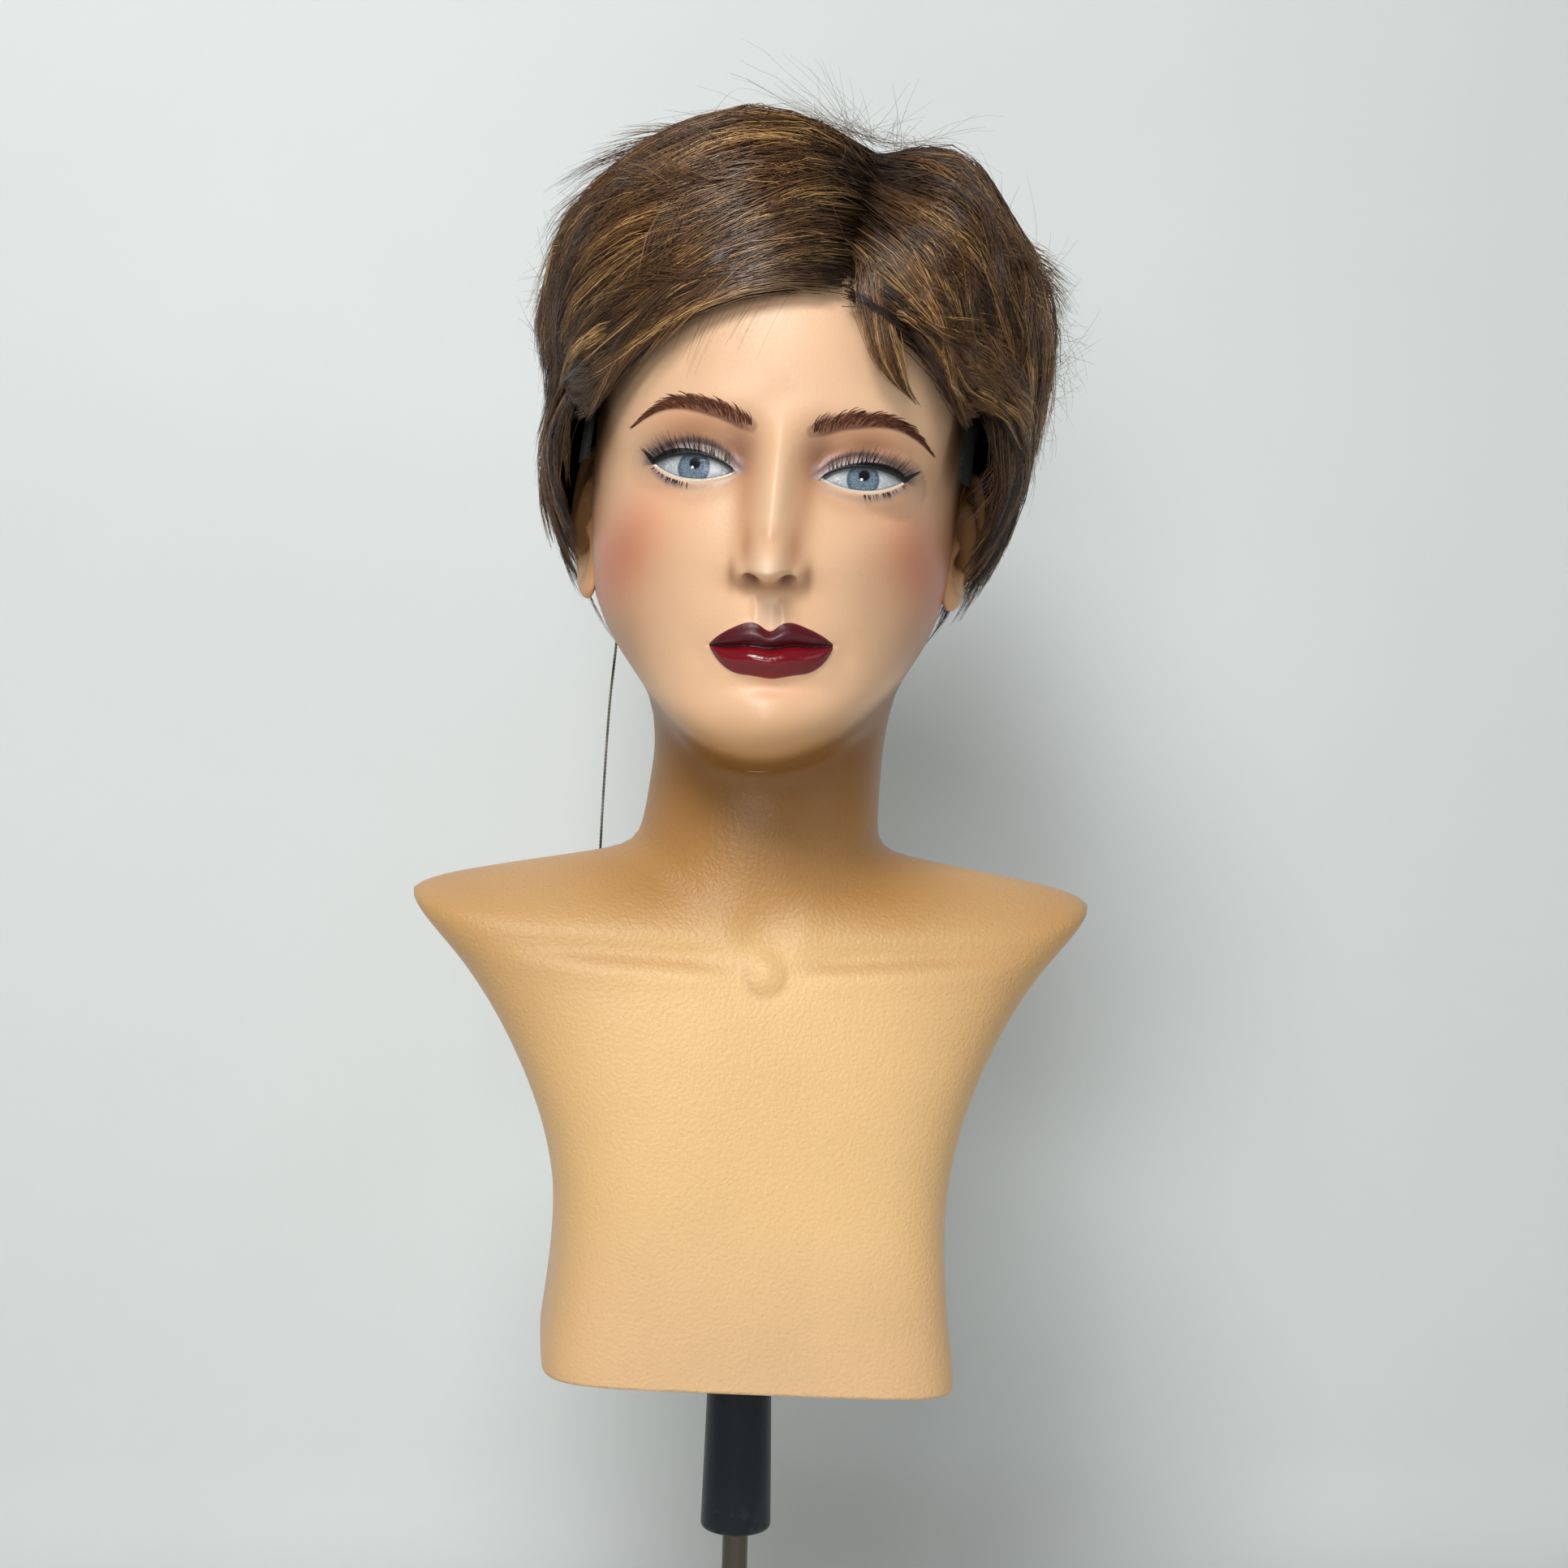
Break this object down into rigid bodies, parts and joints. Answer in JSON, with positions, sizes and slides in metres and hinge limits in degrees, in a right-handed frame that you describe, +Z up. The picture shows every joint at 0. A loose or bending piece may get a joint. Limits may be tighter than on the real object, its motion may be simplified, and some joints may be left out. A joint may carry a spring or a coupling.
{
  "type": "wig display mannequin head",
  "caption": "Female mannequin head and bust in painted glass fibre with a short removable wig, on a tapered holder that turns on a steel tube.",
  "frame": {"origin": "centre of the steel tube's lower end", "axes": "+Z up along the tube, -Y the way the bust faces, +X to the right of somebody who looks at the face"},
  "size_m": [0.2605, 0.2297, 0.6635],
  "materials": {
    "steel": "satin",
    "brass": "satin",
    "cone": "satin",
    "skin": "satin paint",
    "tape": "resin soaked",
    "board": "raw",
    "pad": "matt",
    "lash": "matt",
    "cap": "stretch net",
    "lace": "lace",
    "elastic": "woven",
    "hair": "fibre",
    "cord": "twisted"
  },
  "bodies": {
    "stand": {"stand_tube": "steel", "tube_insert": "brass", "keeper_screw": "steel", "keeper_washer": "steel"},
    "cone": {"holder_cone": "cone"},
    "bust": {"front_shell": "skin", "rear_shell": "skin", "seam_tape": "tape", "base_board": "board", "corner_blocks": "board", "board_screws": "steel", "socket_flange": "steel", "socket_tube": "steel", "flange_screws": "steel", "socket_pad": "pad", "lash_strip_left": "lash", "lash_strip_right": "lash"},
    "wig": {"wig_cap": "cap", "front_band": "lace", "parting_patch": "lace", "ear_tab_left": "cap", "ear_tab_right": "cap", "weft_rows": "hair", "strap_left": "elastic", "strap_right": "elastic", "strap_hooks": "steel", "hair_crown": "hair", "hair_fringe": "hair", "hair_front_lock": "hair", "hair_side_left": "hair", "hair_side_right": "hair", "hair_back": "hair", "hair_nape": "hair", "tag_string": "cord", "string_knot": "cord"}
  },
  "joints": [
    {"name": "cone_turn", "type": "hinge", "parent": "stand", "child": "cone", "pos_m": [0, 0, 0.11], "axis": [0, 0, 1], "continuous": true},
    {"name": "bust_lift", "type": "slide", "parent": "cone", "child": "bust", "axis": [0, 0, 1], "range_m": [0, 0.12]},
    {"name": "wig_lift", "type": "slide", "parent": "bust", "child": "wig", "axis": [0.0809, 0.2059, 0.9752], "range_m": [0, 0.2]}
  ]
}
